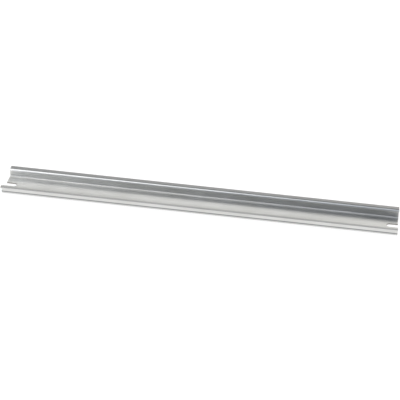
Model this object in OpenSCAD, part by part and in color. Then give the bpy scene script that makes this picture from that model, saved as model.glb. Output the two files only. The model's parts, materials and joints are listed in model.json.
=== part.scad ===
// Top-hat mounting rail, roll-formed from zinc-plated steel strip and cut to length,
// with a slot open to each cut end for its fixing screws.
// X runs along the rail, Y across it, and +Z from the mounting face to the flanges.
// The origin is the centre of the mounting face.

/* [Section] */
// Overall width across both flanges
rail_w = 35; // [34:0.5:45]
// Height from the mounting face to the top of the flanges
rail_h = 7.5; // [5.5:0.5:15]
// Clear width of the channel between the two webs
channel_w = 25; // [18:0.5:26]
// Thickness of the strip
strip_t = 1; // [0.8:0.1:1.5]
// Inside radius of the four bends
bend_r = 1; // [0.4:0.1:1.2]
// Radius on the slit edges of the strip
edge_r = 0.2; // [0.1:0.05:0.3]

/* [Length] */
// Length from cut end to cut end
rail_l = 300; // [60:1:2000]

/* [End slots] */
// Width of the slot
slot_w = 5.2; // [4:0.1:8]
// Depth of the slot, from the cut end to the bottom of its round end
slot_d = 8.5; // [6:0.5:20]

/* [Hidden] */
$fn = 64;

// Radius of a bend at the middle of the strip's thickness
bend_mid_r = bend_r + strip_t / 2;
// Straight stretches of the section, from bend to bend
flange_flat = (rail_w - channel_w) / 2 - strip_t / 2 - bend_mid_r - edge_r;
web_flat = rail_h - strip_t - 2 * bend_mid_r;
base_flat = channel_w + strip_t - 2 * bend_mid_r;
// Height of the middle of the strip in the flanges
flange_mid_z = rail_h - strip_t / 2;
// How far the slot's cutter runs past the metal
clear = 1;

// A quarter of a ring that carries the strip round from +X to +Y
module bend() {
    translate([0, bend_mid_r])
        intersection() {
            difference() {
                circle(r = bend_r + strip_t);
                circle(r = bend_r);
            }
            translate([0, -(bend_r + strip_t)])
                square(bend_r + strip_t);
        }
}

// The strip's section, walked from where it stands: each leg is [straight length, turn],
// and its turn is 1 for up and left, -1 for down and right, 0 for none
module walk(legs, i = 0) {
    if (i < len(legs)) {
        run = legs[i][0];
        turn = legs[i][1];
        translate([0, -strip_t / 2])
            square([run, strip_t]);
        if (turn != 0)
            translate([run, 0])
                mirror([0, turn < 0 ? 1 : 0])
                    bend();
        translate([run + abs(turn) * bend_mid_r, turn * bend_mid_r])
            rotate(90 * turn)
                walk(legs, i + 1);
    }
}

// The slit edge of the strip, with its two corners rounded, ending at x = 0
module slit_edge() {
    for (side = [-1, 1])
        translate([0, side * (strip_t / 2 - edge_r)])
            intersection() {
                circle(r = edge_r);
                translate([-edge_r, side < 0 ? -edge_r : 0])
                    square(edge_r);
            }
    translate([-edge_r, -(strip_t / 2 - edge_r)])
        square([edge_r, strip_t - 2 * edge_r]);
}

// Top-hat section: flange, web, base, web, flange
module hat_section() {
    translate([-rail_w / 2 + edge_r, flange_mid_z])
        walk([
            [flange_flat, -1],
            [web_flat, 1],
            [base_flat, 1],
            [web_flat, -1],
            [flange_flat, 0]
        ]);
    for (side = [0, 1])
        mirror([side, 0])
            translate([-rail_w / 2 + edge_r, flange_mid_z])
                slit_edge();
}

// Cutter for the slot in the +X end: parallel sides with a half-round bottom
module slot_cutter() {
    round_x = rail_l / 2 - slot_d + slot_w / 2;
    translate([0, 0, -clear])
        linear_extrude(strip_t + 2 * clear) {
            translate([round_x, 0])
                circle(d = slot_w);
            translate([round_x, -slot_w / 2])
                square([slot_d - slot_w / 2 + clear, slot_w]);
        }
}

module rail() {
    color("silver")
        difference() {
            rotate([90, 0, 90])
                translate([0, 0, -rail_l / 2])
                    linear_extrude(rail_l)
                        hat_section();
            for (end = [0, 1])
                mirror([end, 0, 0])
                    slot_cutter();
        }
}

rail();
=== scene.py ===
import json
import math

import bmesh
import bpy
from bpy.props import FloatProperty, FloatVectorProperty, IntProperty, PointerProperty
from bpy.types import Operator, Panel, PropertyGroup
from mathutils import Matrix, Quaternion, Vector


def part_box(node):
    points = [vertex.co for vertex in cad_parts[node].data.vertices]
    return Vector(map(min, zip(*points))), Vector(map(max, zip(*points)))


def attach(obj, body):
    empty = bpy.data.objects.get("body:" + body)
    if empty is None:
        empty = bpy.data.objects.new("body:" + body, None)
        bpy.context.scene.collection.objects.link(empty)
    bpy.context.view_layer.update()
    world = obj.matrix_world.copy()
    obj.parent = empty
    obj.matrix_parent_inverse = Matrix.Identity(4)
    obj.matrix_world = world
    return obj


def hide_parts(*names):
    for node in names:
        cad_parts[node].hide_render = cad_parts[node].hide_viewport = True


# A top-hat mounting rail: steel strip, roll-formed, zinc plated and cut to length, with a
# slot open to each cut end. X runs along the rail, Y across it, and Z up from the mounting
# face to the flanges. All lengths are in metres.
bl_info = {
    "name": "Top-hat mounting rail",
    "version": (1, 0, 0),
    "blender": (4, 5, 0),
    "location": "3D View > Sidebar > Mounting rail",
    "description": "Makes a zinc-plated top-hat mounting rail and the studio it lies in",
    "category": "Add Mesh",
}

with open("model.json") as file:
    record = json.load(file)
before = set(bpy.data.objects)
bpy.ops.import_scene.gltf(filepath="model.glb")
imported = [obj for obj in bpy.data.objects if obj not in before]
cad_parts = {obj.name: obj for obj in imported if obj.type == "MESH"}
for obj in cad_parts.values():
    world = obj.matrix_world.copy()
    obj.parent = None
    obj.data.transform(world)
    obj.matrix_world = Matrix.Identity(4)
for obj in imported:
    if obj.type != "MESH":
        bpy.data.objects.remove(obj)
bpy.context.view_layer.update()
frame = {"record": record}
RAIL_LOW, RAIL_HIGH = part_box("rail")
MOUNTS = {mount["name"]: mount for mount in frame["record"]["mounts"]}
SLOT = MOUNTS["end_slot_plus_x"]
MM = 0.001
# Two places nearer than this are the same place
NEAR = 1e-6
# The two inputs that say where a gradual change starts and where it is complete
RAMP = ("From Min", "From Max")
# Tints of the lamps: a shade warmer than white, white, and two shades cooler
WARM, WHITE, COOL, COOLER = (1, 0.985, 0.94), (1, 1, 1), (0.93, 0.95, 1), (0.82, 0.88, 1)
# Each lamp's name, its azimuth and elevation in degrees and its distance, its width and
# height, and its tint
LAMPS = (
    ("back_lamp", (180, 34, 1.8), (2.6, 0.6), WARM),
    ("low_back_lamp", (180, 20, 1.8), (2.6, 0.25), WARM),
    ("back_right_lamp", (146, 34, 1.8), (1.6, 0.9), WARM),
    ("high_lamp", (210, 46, 1.6), (1.5, 0.7), WHITE),
    ("high_left_lamp", (235, 55, 1.6), (0.8, 0.5), WHITE),
    ("low_side_lamp", (315, 15, 1.6), (1.3, 0.9), COOL),
    ("side_lamp", (315, 38, 1.6), (1.2, 0.9), COOL),
    ("high_side_lamp", (315, 62, 1.6), (1.1, 0.7), WHITE),
    ("front_lamp", (24, 57, 1.6), (1.4, 0.7), COOLER),
    ("front_left_lamp", (335, 50, 1.6), (0.7, 0.4), WARM),
    ("low_front_lamp", (10, 16, 1.8), (1.6, 0.4), COOLER),
    ("left_end_lamp", (270, 24, 1.8), (1.2, 1.0), WHITE),
    ("right_end_lamp", (90, 24, 1.8), (1.2, 1.0), WHITE),
    ("top_lamp", (0, 90, 1.6), (1.2, 0.9), WHITE),
)


def linear(code):
    """The linear colour of an sRGB hex code."""
    shares = [int(code[i:i + 2], 16) / 255 for i in (1, 3, 5)]
    return tuple(c / 12.92 if c <= 0.04045 else ((c + 0.055) / 1.055) ** 2.4 for c in shares)


class RailSizes(PropertyGroup):
    """The sizes of the rail."""

    length: FloatProperty(
        name="Length", description="Length of the rail from cut end to cut end",
        default=RAIL_HIGH[0] - RAIL_LOW[0], min=0.06, unit="LENGTH", subtype="DISTANCE")
    width: FloatProperty(
        name="Width", description="Width across both flanges",
        default=RAIL_HIGH[1] - RAIL_LOW[1], min=0.034, unit="LENGTH", subtype="DISTANCE")
    height: FloatProperty(
        name="Height", description="Height from the mounting face to the flanges' tops",
        default=RAIL_HIGH[2] - RAIL_LOW[2], min=0.0055, unit="LENGTH", subtype="DISTANCE")
    channel: FloatProperty(
        name="Channel", description="Clear width between the two webs",
        default=25 * MM, min=0.018, unit="LENGTH", subtype="DISTANCE")
    strip: FloatProperty(
        name="Strip thickness", description="Thickness of the plated strip",
        default=SLOT["dims"]["length_mm"] * MM, min=0.0008, unit="LENGTH", subtype="DISTANCE")
    bend_radius: FloatProperty(
        name="Bend radius", description="Inside radius of the four bends",
        default=1 * MM, min=0.0004, unit="LENGTH", subtype="DISTANCE")
    edge_radius: FloatProperty(
        name="Slit edge radius", description="Radius on the slit edges of the strip",
        default=0.2 * MM, min=0.0001, unit="LENGTH", subtype="DISTANCE")
    shear_break: FloatProperty(
        name="Shear break", description="Rounding left on the sheared ends and the slots",
        default=0.06 * MM, min=0.00002, unit="LENGTH", subtype="DISTANCE")
    slot_radius: FloatProperty(
        name="Slot radius", description="Radius of the round bottom of an end slot",
        default=SLOT["dims"]["r_mm"] * MM, min=0.002, unit="LENGTH", subtype="DISTANCE")
    slot_centre: FloatProperty(
        name="Slot centre",
        description="Distance of the centre of a slot's round bottom from the rail's middle",
        default=SLOT["pos_m"][0], unit="LENGTH", subtype="DISTANCE")
    bend_steps: IntProperty(
        name="Steps in a bend", description="Flat steps that make up a quarter turn of the strip",
        default=16, min=6, max=32)


class RailFinish(PropertyGroup):
    """The colours and texture of the plated strip."""

    plating: FloatVectorProperty(
        name="Plating", description="Colour of the bright zinc plating",
        default=linear("#DEDEDC"), subtype="COLOR", size=3, min=0, max=1)
    plating_dull: FloatVectorProperty(
        name="Dulled plating", description="Colour of the plating in its duller streaks",
        default=linear("#D4D4D1"), subtype="COLOR", size=3, min=0, max=1)
    # Painted shade: the flanges' tops take this darker colour where they mirror darker
    # surroundings; the rolls' rubbing there shows only in the roughness
    rubbed_and_shaded: FloatVectorProperty(
        name="Rubbed plating", description="Colour of the plating on the flanges' rubbed tops",
        default=linear("#A5A5A5"), subtype="COLOR", size=3, min=0, max=1)
    # Painted highlight: the lighter colour of the flanges' bends
    bend_highlight: FloatVectorProperty(
        name="Bright bend", description="Colour of the flanges' bends, polished by the rolls",
        default=linear("#F0F0EE"), subtype="COLOR", size=3, min=0, max=1)
    # Painted shade: the dark line outside each of the base's bends, the contact shadow under the
    # rail that the metal mirrors there
    contact_shade_line: FloatVectorProperty(
        name="Burnished line", description="Colour of the line outside each of the base's bends",
        default=linear("#909192"), subtype="COLOR", size=3, min=0, max=1)
    cut_steel: FloatVectorProperty(
        name="Cut steel", description="Colour of the bare steel on sheared and punched faces",
        default=linear("#A19E9A"), subtype="COLOR", size=3, min=0, max=1)
    gloss_low: FloatProperty(
        name="Least roughness", description="Roughness of the plating where it is brightest",
        default=0.31, min=0, max=1, subtype="FACTOR")
    gloss_high: FloatProperty(
        name="Most roughness", description="Roughness of the plating in its duller lines",
        default=0.33, min=0, max=1, subtype="FACTOR")
    rubbed_roughness: FloatProperty(
        name="Rubbed roughness", description="Roughness of the flanges' rubbed tops",
        default=0.38, min=0, max=1, subtype="FACTOR")
    line_spacing: FloatProperty(
        name="Roll line spacing", description="Distance between neighbouring roll lines",
        default=0.9 * MM, min=0.0001, unit="LENGTH", subtype="DISTANCE")
    line_length: FloatProperty(
        name="Roll line length", description="How far one roll line runs along the rail",
        default=45 * MM, min=0.001, unit="LENGTH", subtype="DISTANCE")


class StudioLook(PropertyGroup):
    """The floor, the white surround, the tent, the lamps and the camera."""

    floor_colour: FloatVectorProperty(
        name="Floor", description="Colour of the floor", default=linear("#F4F4F4"),
        subtype="COLOR", size=3, min=0, max=1)
    floor_size: FloatProperty(
        name="Floor size", description="Length of a side of the floor",
        default=8.0, min=2.0, unit="LENGTH", subtype="DISTANCE")
    fill: FloatProperty(
        name="Fill", description="Brightness of the white surround as a light",
        default=0.7, min=0)
    tent: FloatProperty(
        name="Tent", description="Brightness of the dark tent in a reflection",
        default=0.05, min=0)
    tent_colour: FloatVectorProperty(
        name="Tent colour", description="Colour of the dark tent", default=linear("#CFE0FF"),
        subtype="COLOR", size=3, min=0, max=1)
    back_lamp: FloatProperty(
        name="Back lamp", description="Brightness of the wide lamp behind the rail",
        default=0.62, min=0)
    low_back_lamp: FloatProperty(
        name="Low back lamp", description="Brightness of the low wide lamp behind the rail",
        default=0.6, min=0)
    back_right_lamp: FloatProperty(
        name="Back right lamp", description="Brightness of the lamp behind the right end",
        default=1.0, min=0)
    high_lamp: FloatProperty(
        name="High lamp", description="Brightness of the lamp high behind the left end",
        default=1.0, min=0)
    high_left_lamp: FloatProperty(
        name="High left lamp", description="Brightness of the lamp high off the left end",
        default=0.3, min=0)
    low_side_lamp: FloatProperty(
        name="Low side lamp", description="Brightness of the low lamp in front of the left end",
        default=2.1, min=0)
    side_lamp: FloatProperty(
        name="Side lamp", description="Brightness of the lamp in front of the left end",
        default=0.9, min=0)
    high_side_lamp: FloatProperty(
        name="High side lamp", description="Brightness of the high lamp in front of the left end",
        default=0.85, min=0)
    front_lamp: FloatProperty(
        name="Front lamp", description="Brightness of the lamp above and right of the camera",
        default=0.85, min=0)
    front_left_lamp: FloatProperty(
        name="Front left lamp", description="Brightness of the lamp above and left of the camera",
        default=1.45, min=0)
    low_front_lamp: FloatProperty(
        name="Low front lamp", description="Brightness of the low lamp below the camera",
        default=0.2, min=0)
    left_end_lamp: FloatProperty(
        name="Left end lamp", description="Brightness of the lamp off the left end",
        default=0.6, min=0)
    right_end_lamp: FloatProperty(
        name="Right end lamp", description="Brightness of the lamp off the right end",
        default=0.6, min=0)
    top_lamp: FloatProperty(
        name="Top lamp", description="Brightness of the lamp over the rail",
        default=0.35, min=0)
    lens: FloatProperty(
        name="Lens", description="Focal length on a 36 mm sensor, in millimetres",
        default=139.4, min=20, unit="CAMERA")
    distance: FloatProperty(
        name="Camera distance", description="Distance of the camera from the rail's middle",
        default=1.1738, min=0.3, unit="LENGTH", subtype="DISTANCE")
    azimuth: FloatProperty(
        name="Azimuth", description="How far the camera stands round to the +X side",
        default=math.radians(6.69), unit="ROTATION", subtype="ANGLE")
    elevation: FloatProperty(
        name="Elevation", description="Height of the camera above the horizon",
        default=math.radians(29.29), unit="ROTATION", subtype="ANGLE")
    roll: FloatProperty(
        name="Roll", description="Turn of the camera about its own line of sight",
        default=math.radians(2.85), unit="ROTATION", subtype="ANGLE")


def add_node(tree, kind, settings=(), values=(), links=()):
    """Adds a node of that kind, with its settings, its sockets' values and its links."""
    node = tree.nodes.new(kind)
    for name, value in dict(settings).items():
        setattr(node, name, value)
    for name, value in dict(values).items():
        node.inputs[name].default_value = value
    for name, source in dict(links).items():
        tree.links.new(source, node.inputs[name])
    return node


def new_material(name):
    """An empty node material of that name, and its node tree."""
    material = bpy.data.materials.new(name)
    material.use_nodes = True
    material.node_tree.nodes.clear()
    return material, material.node_tree


def start_piece(name):
    """Names the new primitive, puts its place and size in its mesh, and opens it for editing
    with nothing selected."""
    piece = bpy.context.object
    piece.name = piece.data.name = name
    bpy.ops.object.transform_apply(location=True, rotation=True, scale=True)
    bpy.ops.object.mode_set(mode="EDIT")
    bpy.ops.mesh.select_all(action="DESELECT")
    return piece


def pick(piece, mode, test):
    """Selects the vertices, edges or faces that pass the test, and nothing else."""
    bpy.ops.mesh.select_all(action="DESELECT")
    bpy.ops.mesh.select_mode(type=mode)
    mesh = bmesh.from_edit_mesh(piece.data)
    for part in {"VERT": mesh.verts, "EDGE": mesh.edges, "FACE": mesh.faces}[mode]:
        if test(part):
            part.select_set(True)
    mesh.select_flush_mode()
    bmesh.update_edit_mesh(piece.data)


def lies_at(edge, axis, value):
    """True if both ends of the edge have that coordinate."""
    return all(abs(v.co[axis] - value) < NEAR for v in edge.verts)


def apply_all(piece):
    """Applies every modifier of the piece in order."""
    for modifier in list(piece.modifiers):
        bpy.ops.object.modifier_apply(modifier=modifier.name)


def check_closed(piece):
    """Stops the script if the piece has an open edge, or an edge of more than two faces."""
    mesh = bmesh.new()
    mesh.from_mesh(piece.data)
    closed = len(mesh.faces) > 0 and all(edge.is_manifold for edge in mesh.edges)
    mesh.free()
    if not closed:
        raise RuntimeError(f"{piece.name} isn't closed")


def form_strip(sizes):
    """Forms the strip: a flat sheet for the base, its edges drawn up into webs and out into
    flanges, then the four folds rounded, the sheet thickened and its slit edges rounded."""
    edge_steps = 5
    web_y = (sizes.channel + sizes.strip) / 2
    base_z, flange_z = sizes.strip / 2, sizes.height - sizes.strip / 2
    bend_mid = sizes.bend_radius + sizes.strip / 2
    bpy.ops.mesh.primitive_plane_add(size=1, location=(0, 0, base_z))
    bpy.context.object.scale = (sizes.length, 2 * web_y, 1)
    strip = start_piece("rolled_rail")
    for side in (-1, 1):
        pick(strip, "EDGE", lambda e: lies_at(e, 1, side * web_y))
        bpy.ops.mesh.extrude_region_move(
            TRANSFORM_OT_translate={"value": (0, 0, flange_z - base_z)})
        bpy.ops.mesh.extrude_region_move(
            TRANSFORM_OT_translate={"value": (0, side * (sizes.width / 2 - web_y), 0)})
    pick(strip, "EDGE", lambda e: len(e.link_faces) == 2)
    bpy.ops.mesh.bevel(offset_type="OFFSET", offset=bend_mid, segments=sizes.bend_steps,
                       profile=0.5, affect="EDGES", clamp_overlap=False)
    bpy.ops.mesh.select_all(action="SELECT")
    bpy.ops.mesh.normals_make_consistent(inside=False)
    bpy.ops.object.mode_set(mode="OBJECT")
    wall = strip.modifiers.new("Strip thickness", "SOLIDIFY")
    wall.thickness = sizes.strip
    wall.offset = 0
    wall.use_even_offset = True
    apply_all(strip)
    bpy.ops.object.mode_set(mode="EDIT")
    # The four long edges of the strip's two slit faces
    pick(strip, "EDGE", lambda e: abs(e.verts[0].co.x - e.verts[1].co.x) > NEAR
         and any(lies_at(e, 1, side * sizes.width / 2) for side in (-1, 1)))
    bpy.ops.mesh.bevel(offset=sizes.edge_radius, segments=edge_steps, profile=0.5,
                       affect="EDGES")
    bpy.ops.object.mode_set(mode="OBJECT")
    return strip


def slot_punch(sizes, end):
    """The punch for one end's slot: a round bar whose outer half is drawn out past the end."""
    past_end, round_steps = 2 * MM, 64
    reach = sizes.length / 2 - sizes.slot_centre + past_end
    bpy.ops.object.select_all(action="DESELECT")
    bpy.ops.mesh.primitive_cylinder_add(
        vertices=round_steps, radius=sizes.slot_radius, depth=4 * sizes.strip,
        location=(end * sizes.slot_centre, 0, sizes.strip / 2))
    punch = start_piece("slot_punch")
    pick(punch, "VERT", lambda v: end * v.co.x > sizes.slot_centre - NEAR)
    bpy.ops.transform.translate(value=(end * reach, 0, 0))
    bpy.ops.object.mode_set(mode="OBJECT")
    return punch


def zinc_plate(sizes, finish):
    """Bright zinc-plated cold-rolled steel: the strip is rolled, formed between rolls and
    electroplated with a clear passivate. The eye sees a silvery metal with a satin sheen,
    faint lines along the rail from the rolls and slow clouds where the plating is thicker.
    The forming rolls leave the flanges' tops rougher, and painted shade makes them darker in
    colour. A line outside each of the base's bends is rougher too, and its dark colour is
    painted shade, the contact shadow under the rail that the metal mirrors. A painted
    highlight lightens the flanges' bends. Where the strip was sheared and punched, the steel
    is bare and grey."""
    material, tree = new_material("Zinc-plated cold-rolled steel")
    # Places on the section and sizes of the patterns, in millimetres
    half, top = sizes.length / 2 / MM, sizes.height / MM
    slot_x, slot_r = sizes.slot_centre / MM, sizes.slot_radius / MM
    web_y = sizes.channel / 2 / MM
    flange_y = web_y + (sizes.strip + sizes.bend_radius) / MM
    bend_z = (sizes.strip + sizes.bend_radius) / MM
    cloud_size, grain_size = 25, 0.35
    # Where each change of finish and each painted shade and highlight starts and where it is
    # complete, in millimetres
    top_rub_shade = (top - 0.7, top - 0.3)
    wide_rub_shade = (flange_y - 1.3, flange_y - 0.5)
    edge_rub_shade = (-flange_y - 0.5, -flange_y - 1.5)
    shade_line_z, shade_line_fade = bend_z - 0.1, (0.65, 0.25)
    outside_web = (web_y + 0.1, web_y + 0.3)
    highlight_z, highlight_fade = top - 1.1, (1.2, 0.5)
    inside_flange = (web_y + 1.0, web_y + 0.7)
    # How near a cut face counts as bare, in millimetres, and how rough bare steel is
    cut_depth, bare_roughness = 0.03, 0.55
    # How much of the full rubbing and painted shade the -Y flange's edge has, how much the lines
    # count beside the clouds in the tone, and how much the grain counts beside the lines in the
    # relief
    edge_share, line_share, grain_share = 0.75, 0.7, 0.15
    # The spread of the lines' noise, and of its mix with the clouds
    line_range, tone_range = (0.3, 0.7), (0.65, 1.05)
    relief_depth = 0.012 * MM

    place = add_node(tree, "ShaderNodeTexCoord")
    # Coordinates in millimetres, so every distance below is a real one.
    mm = add_node(tree, "ShaderNodeVectorMath", {"operation": "SCALE"}, {"Scale": 1 / MM},
                  {0: place.outputs["Object"]}).outputs["Vector"]
    axes = add_node(tree, "ShaderNodeSeparateXYZ", links={"Vector": mm}).outputs

    # Roll lines are a few hundredths of a millimetre apart. They are drawn nearly a millimetre
    # apart here, which is as fine as still shows from a metre away.
    across = MM / finish.line_spacing
    drawn = add_node(tree, "ShaderNodeMapping",
                     values={"Scale": (MM / finish.line_length, across, across)},
                     links={"Vector": mm})
    lines = add_node(tree, "ShaderNodeTexNoise", {"noise_dimensions": "3D"},
                     {"Scale": 1.0, "Detail": 3.0, "Roughness": 0.6},
                     {"Vector": drawn.outputs["Vector"]}).outputs["Fac"]
    # The plating's thickness wanders slowly.
    clouds = add_node(tree, "ShaderNodeTexNoise", {"noise_dimensions": "3D"},
                      {"Scale": 1 / cloud_size, "Detail": 2.0, "Roughness": 0.5},
                      {"Vector": mm}).outputs["Fac"]
    # The zinc's own grain is finer than the lines, and shows only in the relief.
    grain = add_node(tree, "ShaderNodeTexNoise", {"noise_dimensions": "3D"},
                     {"Scale": 1 / grain_size, "Detail": 2.0}, {"Vector": mm}).outputs["Fac"]

    # How far the forming rolls rub a place, which is also where shade is painted darker: all
    # over the +Y flange's top, along the slit edge of the -Y one, and on a line outside each of
    # the base's bends
    side = add_node(tree, "ShaderNodeMath", {"operation": "ABSOLUTE"},
                    links={0: axes["Y"]}).outputs["Value"]
    high = add_node(tree, "ShaderNodeMapRange", values=zip(RAMP, top_rub_shade),
                    links={"Value": axes["Z"]}).outputs["Result"]
    wide = add_node(tree, "ShaderNodeMapRange", values=zip(RAMP, wide_rub_shade),
                    links={"Value": axes["Y"]}).outputs["Result"]
    edge = add_node(tree, "ShaderNodeMapRange",
                    values={**dict(zip(RAMP, edge_rub_shade)), "To Max": edge_share},
                    links={"Value": axes["Y"]}).outputs["Result"]
    either = add_node(tree, "ShaderNodeMath", {"operation": "MAXIMUM"},
                      links={0: wide, 1: edge}).outputs["Value"]
    tops = add_node(tree, "ShaderNodeMath", {"operation": "MULTIPLY"},
                    links={0: high, 1: either}).outputs["Value"]
    apart = add_node(tree, "ShaderNodeMath", {"operation": "SUBTRACT"},
                     {1: shade_line_z}, {0: axes["Z"]}).outputs["Value"]
    from_bend = add_node(tree, "ShaderNodeMath", {"operation": "ABSOLUTE"},
                         links={0: apart}).outputs["Value"]
    low = add_node(tree, "ShaderNodeMapRange", values=zip(RAMP, shade_line_fade),
                   links={"Value": from_bend}).outputs["Result"]
    outside = add_node(tree, "ShaderNodeMapRange", values=zip(RAMP, outside_web),
                       links={"Value": side}).outputs["Result"]
    bends = add_node(tree, "ShaderNodeMath", {"operation": "MULTIPLY"},
                     links={0: low, 1: outside}).outputs["Value"]
    level = add_node(tree, "ShaderNodeMath", {"operation": "MAXIMUM"},
                     links={0: tops, 1: bends}).outputs["Value"]
    # 1 on the channel's side of the flanges' bends, where a highlight is painted
    under = add_node(tree, "ShaderNodeMath", {"operation": "SUBTRACT"},
                     {1: highlight_z}, {0: axes["Z"]}).outputs["Value"]
    from_curve = add_node(tree, "ShaderNodeMath", {"operation": "ABSOLUTE"},
                          links={0: under}).outputs["Value"]
    curve = add_node(tree, "ShaderNodeMapRange", values=zip(RAMP, highlight_fade),
                     links={"Value": from_curve}).outputs["Result"]
    inside = add_node(tree, "ShaderNodeMapRange", values=zip(RAMP, inside_flange),
                      links={"Value": side}).outputs["Result"]
    highlight_mask = add_node(tree, "ShaderNodeMath", {"operation": "MULTIPLY"},
                        links={0: curve, 1: inside}).outputs["Value"]
    # 1 on the two sheared end faces
    along = add_node(tree, "ShaderNodeMath", {"operation": "ABSOLUTE"},
                     links={0: axes["X"]}).outputs["Value"]
    sheared = add_node(tree, "ShaderNodeMath", {"operation": "GREATER_THAN"},
                       {1: half - cut_depth}, {0: along}).outputs["Value"]
    # 1 on the punched walls of the end slots, which lie a slot's radius from its middle line
    short = add_node(tree, "ShaderNodeMath", {"operation": "SUBTRACT"},
                     {0: slot_x}, {1: along}).outputs["Value"]
    past = add_node(tree, "ShaderNodeMath", {"operation": "MAXIMUM"},
                    {1: 0.0}, {0: short}).outputs["Value"]
    flat = add_node(tree, "ShaderNodeCombineXYZ", links={"X": past, "Y": axes["Y"]})
    reach = add_node(tree, "ShaderNodeVectorMath", {"operation": "LENGTH"},
                     links={0: flat.outputs["Vector"]}).outputs["Value"]
    punched = add_node(tree, "ShaderNodeMath", {"operation": "LESS_THAN"},
                       {1: slot_r + cut_depth}, {0: reach}).outputs["Value"]
    bare = add_node(tree, "ShaderNodeMath", {"operation": "MAXIMUM"},
                    links={0: sheared, 1: punched}).outputs["Value"]

    # The plating's tone, from the lines and the clouds, and over it in turn a painted highlight
    # on the flanges' bends, painted shade on their tops and on the line outside the base's bends,
    # and the bare steel
    mixed = add_node(tree, "ShaderNodeMath", {"operation": "MULTIPLY_ADD"},
                     {1: line_share}, {0: lines, 2: clouds}).outputs["Value"]
    tone = add_node(tree, "ShaderNodeMapRange", values=zip(RAMP, tone_range),
                    links={"Value": mixed}).outputs["Result"]
    plated = add_node(tree, "ShaderNodeMix", {"data_type": "RGBA"},
                      {6: (*finish.plating, 1), 7: (*finish.plating_dull, 1)},
                      {0: tone}).outputs[2]
    # Painted highlight on the flanges' bends
    bright = add_node(tree, "ShaderNodeMix", {"data_type": "RGBA"},
                      {7: (*finish.bend_highlight, 1)}, {0: highlight_mask, 6: plated}).outputs[2]
    # Painted shade on the flanges' tops
    top_shaded = add_node(tree, "ShaderNodeMix", {"data_type": "RGBA"},
                      {7: (*finish.rubbed_and_shaded, 1)}, {0: tops, 6: bright}).outputs[2]
    # Painted shade on the line outside the base's bends
    shade_lined = add_node(tree, "ShaderNodeMix", {"data_type": "RGBA"},
                     {7: (*finish.contact_shade_line, 1)}, {0: bends, 6: top_shaded}).outputs[2]
    colour = add_node(tree, "ShaderNodeMix", {"data_type": "RGBA"},
                      {7: (*finish.cut_steel, 1)}, {0: bare, 6: shade_lined}).outputs[2]

    # The sheen is a little rougher in the duller lines, and rougher still where the rolls rub it,
    # on the flanges' tops and on the line outside the base's bends
    sheen = add_node(tree, "ShaderNodeMapRange",
                     values={**dict(zip(RAMP, line_range)),
                             "To Min": finish.gloss_low, "To Max": finish.gloss_high},
                     links={"Value": lines}).outputs["Result"]
    rub = add_node(tree, "ShaderNodeMix", {"data_type": "FLOAT"},
                   {3: finish.rubbed_roughness}, {0: level, 2: sheen}).outputs[0]
    rough = add_node(tree, "ShaderNodeMix", {"data_type": "FLOAT"},
                     {3: bare_roughness}, {0: bare, 2: rub}).outputs[0]

    # A very shallow relief of the lines, with a little of the grain
    height = add_node(tree, "ShaderNodeMath", {"operation": "MULTIPLY_ADD"},
                      {1: grain_share}, {0: grain, 2: lines}).outputs["Value"]
    relief = add_node(tree, "ShaderNodeBump", values={"Strength": 0.05, "Distance": relief_depth},
                      links={"Height": height}).outputs["Normal"]
    shader = add_node(tree, "ShaderNodeBsdfPrincipled", values={"Metallic": 1.0},
                      links={"Base Color": colour, "Roughness": rough, "Normal": relief})
    add_node(tree, "ShaderNodeOutputMaterial", links={"Surface": shader.outputs["BSDF"]})
    return material


class MOUNTINGRAIL_OT_make_rail(Operator):
    """Makes the rail: forms the strip, cuts its end slots and gives it its plating"""

    bl_idname = "mountingrail.make_rail"
    bl_label = "Make the rail"

    def execute(self, context):
        sizes = context.scene.rail_sizes
        # Edges sharper than the first angle are broken, and those under the second shade smooth
        sharp, smooth, break_steps = math.radians(60), math.radians(40), 2
        bpy.ops.object.select_all(action="DESELECT")
        rail = form_strip(sizes)
        punches = [slot_punch(sizes, end) for end in (-1, 1)]
        bpy.ops.object.select_all(action="DESELECT")
        context.view_layer.objects.active = rail
        rail.select_set(True)
        for punch in punches:
            cut = rail.modifiers.new("End slot", "BOOLEAN")
            cut.operation = "DIFFERENCE"
            cut.solver = "EXACT"
            cut.object = punch
        apply_all(rail)
        for punch in punches:
            bpy.data.meshes.remove(punch.data)
        bpy.ops.object.mode_set(mode="EDIT")
        bpy.ops.mesh.select_mode(type="EDGE")
        bpy.ops.mesh.select_all(action="DESELECT")
        bpy.ops.mesh.edges_select_sharp(sharpness=sharp)
        bpy.ops.mesh.bevel(offset=sizes.shear_break, segments=break_steps, profile=0.5,
                           affect="EDGES")
        bpy.ops.object.mode_set(mode="OBJECT")
        bpy.ops.object.shade_smooth_by_angle(angle=smooth)
        # The flats keep their own normals right up to the bends.
        rail.modifiers.new("Flat normals", "WEIGHTED_NORMAL").keep_sharp = True
        apply_all(rail)
        check_closed(rail)
        rail.data.materials.append(zinc_plate(sizes, context.scene.rail_finish))
        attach(rail, "root")
        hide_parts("rail")
        return {"FINISHED"}


def toward(azimuth, elevation, distance):
    """The place that far from the rail's middle. Azimuth 0 is the camera's side, -Y, and it
    turns towards +X. Both angles are in degrees."""
    turn, rise = math.radians(azimuth), math.radians(elevation)
    flat = distance * math.cos(rise)
    return Vector((flat * math.sin(turn), -flat * math.cos(turn), distance * math.sin(rise)))


def seen_directly(tree):
    """1 for what the camera, a reflection or a transmission shows of a surface, otherwise 0."""
    rays = add_node(tree, "ShaderNodeLightPath")
    either = add_node(tree, "ShaderNodeMath", {"operation": "MAXIMUM"},
                      links={0: rays.outputs["Is Camera Ray"], 1: rays.outputs["Is Glossy Ray"]})
    seen = add_node(tree, "ShaderNodeMath", {"operation": "MAXIMUM"},
                    links={0: either.outputs["Value"], 1: rays.outputs["Is Transmission Ray"]})
    return seen.outputs["Value"]


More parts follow.
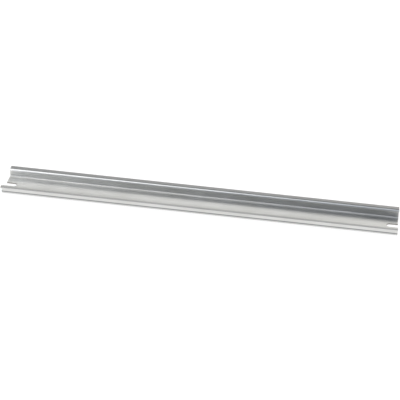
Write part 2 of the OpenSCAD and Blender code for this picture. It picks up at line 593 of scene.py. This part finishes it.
def lay_floor(look):
    """A matt white floor. Part of its white is its own glow, so that it stays white all over and
    still takes the rail's shadow, and that glow is dimmed by ambient occlusion in the gap under
    the rail's bends: a painted contact shadow, which the metal mirrors."""
    clearance, gap_depth = 0.02 * MM, 0.4 * MM
    bpy.ops.mesh.primitive_plane_add(size=look.floor_size,
                                     location=(0, 0, RAIL_LOW[2] - clearance))
    floor = bpy.context.object
    floor.name = "floor"
    material, tree = new_material("Matt white floor")
    paint = add_node(tree, "ShaderNodeBsdfDiffuse", values={"Color": (*look.floor_colour, 1)})
    shade = add_node(tree, "ShaderNodeBsdfDiffuse", values={"Color": (0.2, 0.2, 0.2, 1)})
    # Painted contact shadow: the glow dims where ambient occlusion finds the rail close by
    contact = add_node(tree, "ShaderNodeAmbientOcclusion", {"samples": 8},
                       {"Distance": gap_depth})
    white = add_node(tree, "ShaderNodeMapRange",
                     values={"From Min": 0.0, "From Max": 0.6, "To Min": 0.3, "To Max": 0.86},
                     links={"Value": contact.outputs["AO"]})
    glow = add_node(tree, "ShaderNodeEmission", values={"Color": (1, 1, 1, 1)},
                    links={"Strength": white.outputs["Result"]})
    both = add_node(tree, "ShaderNodeAddShader",
                    links={0: shade.outputs["BSDF"], 1: glow.outputs["Emission"]})
    mix = add_node(tree, "ShaderNodeMixShader",
                   links={0: seen_directly(tree), 1: paint.outputs["BSDF"],
                          2: both.outputs["Shader"]})
    add_node(tree, "ShaderNodeOutputMaterial", links={"Surface": mix.outputs["Shader"]})
    floor.data.materials.append(material)


def light_world(look):
    """A white surround that also fills the shadows softly."""
    world = bpy.data.worlds.new("White surround")
    bpy.context.scene.world = world
    world.use_nodes = True
    tree = world.node_tree
    tree.nodes.clear()
    fill = add_node(tree, "ShaderNodeBackground",
                    values={"Color": (1, 1, 1, 1), "Strength": look.fill})
    white = add_node(tree, "ShaderNodeBackground",
                     values={"Color": (1, 1, 1, 1), "Strength": 1.0})
    mix = add_node(tree, "ShaderNodeMixShader",
                   links={0: seen_directly(tree), 1: fill.outputs["Background"],
                          2: white.outputs["Background"]})
    add_node(tree, "ShaderNodeOutputWorld", links={"Surface": mix.outputs["Shader"]})


def hang_tent(look):
    """A dark grey tent round the rail that only reflections show. It gives the bright metal
    something dark to mirror, as black cards round a studio table do."""
    side, height = 4.4, 2.6
    bpy.ops.mesh.primitive_cube_add(size=1, location=(0, 0, height / 2))
    bpy.context.object.scale = (side, side, height)
    tent = start_piece("dark_tent")
    pick(tent, "FACE", lambda f: f.normal.z < -0.5)
    bpy.ops.mesh.delete(type="FACE")
    bpy.ops.object.mode_set(mode="OBJECT")
    material, tree = new_material("Dark grey cloth")
    cloth = add_node(tree, "ShaderNodeEmission",
                     values={"Color": (*look.tent_colour, 1), "Strength": look.tent})
    add_node(tree, "ShaderNodeOutputMaterial", links={"Surface": cloth.outputs["Emission"]})
    tent.data.materials.append(material)
    tent.visible_camera = tent.visible_diffuse = tent.visible_shadow = False
    tent.visible_transmission = False


def hang_lamp(name, place, size, brightness, tint):
    """A soft rectangular lamp aimed at the rail. Its place is an azimuth, an elevation and a
    distance, and its size a width and a height. A brightness of 1 looks white in a mirror."""
    stand = toward(*place)
    aim = (-stand).to_track_quat("-Z", "Y").to_euler()
    bpy.ops.object.light_add(type="AREA", location=stand, rotation=aim)
    lamp = bpy.context.object
    lamp.name = lamp.data.name = name
    lamp.data.shape = "RECTANGLE"
    lamp.data.size, lamp.data.size_y = size
    lamp.data.energy = brightness * math.pi * size[0] * size[1]
    lamp.data.color = tint


def place_camera(look):
    """The camera, in front of the rail's open side and a little round to its +X end."""
    # It looks at a point a little behind the rail's middle line, at half its height.
    aim_y = 2.1 * MM
    middle = (Vector(RAIL_LOW) + Vector(RAIL_HIGH)) / 2
    aim = Vector((0, aim_y, middle.z))
    back = toward(math.degrees(look.azimuth), math.degrees(look.elevation), 1)
    turn = back.to_track_quat("Z", "Y") @ Quaternion((0, 0, 1), look.roll)
    bpy.ops.object.camera_add(location=aim + back * look.distance, rotation=turn.to_euler())
    camera = bpy.context.object
    camera.name = camera.data.name = "camera"
    camera.data.lens = look.lens
    camera.data.sensor_width = 36
    camera.data.dof.use_dof = False
    camera.data.clip_start = 0.05
    bpy.context.scene.camera = camera


class MOUNTINGRAIL_OT_make_stage(Operator):
    """Makes the pale floor, the white surround, the tent, the soft lamps and the camera"""

    bl_idname = "mountingrail.make_stage"
    bl_label = "Make the stage"

    def execute(self, context):
        look = context.scene.studio_look
        bpy.ops.object.select_all(action="DESELECT")
        lay_floor(look)
        light_world(look)
        hang_tent(look)
        for name, place, size, tint in LAMPS:
            hang_lamp(name, place, size, getattr(look, name), tint)
        place_camera(look)
        context.scene.view_settings.view_transform = "Standard"
        return {"FINISHED"}


class MOUNTINGRAIL_PT_panel(Panel):
    """The mounting rail's panel in the sidebar"""

    bl_label = "Mounting rail"
    bl_space_type = "VIEW_3D"
    bl_region_type = "UI"
    bl_category = "Mounting rail"

    def draw(self, context):
        for name in ("rail_sizes", "rail_finish", "studio_look"):
            box = self.layout.box()
            group = getattr(context.scene, name)
            for key in group.bl_rna.properties.keys():
                if key not in {"rna_type", "name"}:
                    box.prop(group, key)
        self.layout.operator(MOUNTINGRAIL_OT_make_rail.bl_idname)
        self.layout.operator(MOUNTINGRAIL_OT_make_stage.bl_idname)


CLASSES = (RailSizes, RailFinish, StudioLook, MOUNTINGRAIL_OT_make_rail,
           MOUNTINGRAIL_OT_make_stage, MOUNTINGRAIL_PT_panel)


def register():
    for cls in CLASSES:
        bpy.utils.register_class(cls)
    bpy.types.Scene.rail_sizes = PointerProperty(type=RailSizes)
    bpy.types.Scene.rail_finish = PointerProperty(type=RailFinish)
    bpy.types.Scene.studio_look = PointerProperty(type=StudioLook)


def unregister():
    del bpy.types.Scene.studio_look
    del bpy.types.Scene.rail_finish
    del bpy.types.Scene.rail_sizes
    for cls in reversed(CLASSES):
        bpy.utils.unregister_class(cls)


def main():
    register()
    bpy.ops.mountingrail.make_rail()
    bpy.ops.mountingrail.make_stage()


if __name__ == "__main__":
    main()
